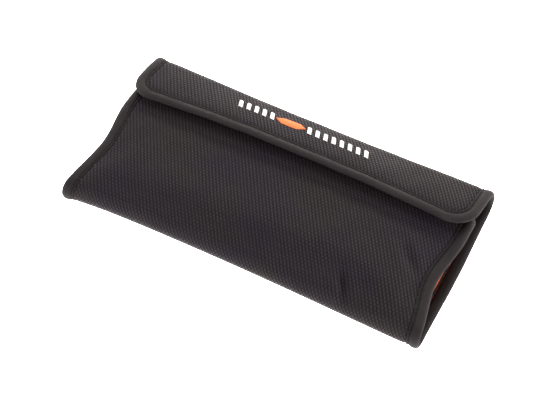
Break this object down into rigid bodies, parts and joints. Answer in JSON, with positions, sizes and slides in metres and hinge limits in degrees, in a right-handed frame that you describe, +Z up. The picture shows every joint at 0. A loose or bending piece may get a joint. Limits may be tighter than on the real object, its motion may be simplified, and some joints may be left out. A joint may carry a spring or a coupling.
{
  "type": "folding filter wallet",
  "caption": "Closed padded fabric wallet for round lens filters: a back leaf, a front leaf folded over orange pockets, and a flap with a hook-and-loop closure.",
  "frame": {"origin": "centre of the wallet's footprint, on the surface it lies on", "axes": "+X along the fold lines, +Y from the bottom fold towards the flap's fold, +Z up out of the closed wallet's front"},
  "size_m": [0.267, 0.1308, 0.0334],
  "materials": {
    "ballistic_nylon": "black woven ballistic nylon with a coarse dotted weave",
    "binding_tape": "black smooth woven binding tape",
    "foam": "dark closed-cell foam padding inside the fabric",
    "lining_orange": "orange plain-weave nylon lining",
    "lining_black": "black plain-weave nylon lining",
    "pocket_nylon": "orange plain-weave nylon",
    "loop": "black loop pile",
    "hook": "black moulded hooks on a nylon backing",
    "thread_white": "white embroidery thread",
    "thread_orange": "orange embroidery thread"
  },
  "bodies": {
    "back": {"back_shell": "ballistic_nylon", "back_padding": "foam", "back_lining": "lining_orange", "back_binding_left": "binding_tape", "back_binding_right": "binding_tape", "pocket_left": "pocket_nylon", "pocket_middle": "pocket_nylon", "pocket_right": "pocket_nylon", "pocket_tape_left": "binding_tape", "pocket_tape_middle": "binding_tape", "pocket_tape_right": "binding_tape"},
    "front": {"front_shell": "ballistic_nylon", "front_padding": "foam", "front_lining": "lining_orange", "front_binding": "binding_tape", "loop_strip": "loop"},
    "flap": {"flap_shell": "ballistic_nylon", "flap_padding": "foam", "flap_lining": "lining_black", "flap_binding": "binding_tape", "hook_strip": "hook", "emblem_bars": "thread_white", "emblem_lozenge": "thread_orange"}
  },
  "joints": [
    {"name": "flap_open", "type": "hinge", "parent": "back", "child": "flap", "pos_m": [0, 0.06565, 0.01], "axis": [-1, 0, 0], "range_deg": [0, 160]},
    {"name": "front_open", "type": "hinge", "parent": "back", "child": "front", "pos_m": [0, -0.06565, 0.01], "axis": [1, 0, 0], "range_deg": [0, 48]}
  ],
  "couplings": [
    {"joint": "front_open", "follows": "flap_open", "ratio": 0.3}
  ]
}
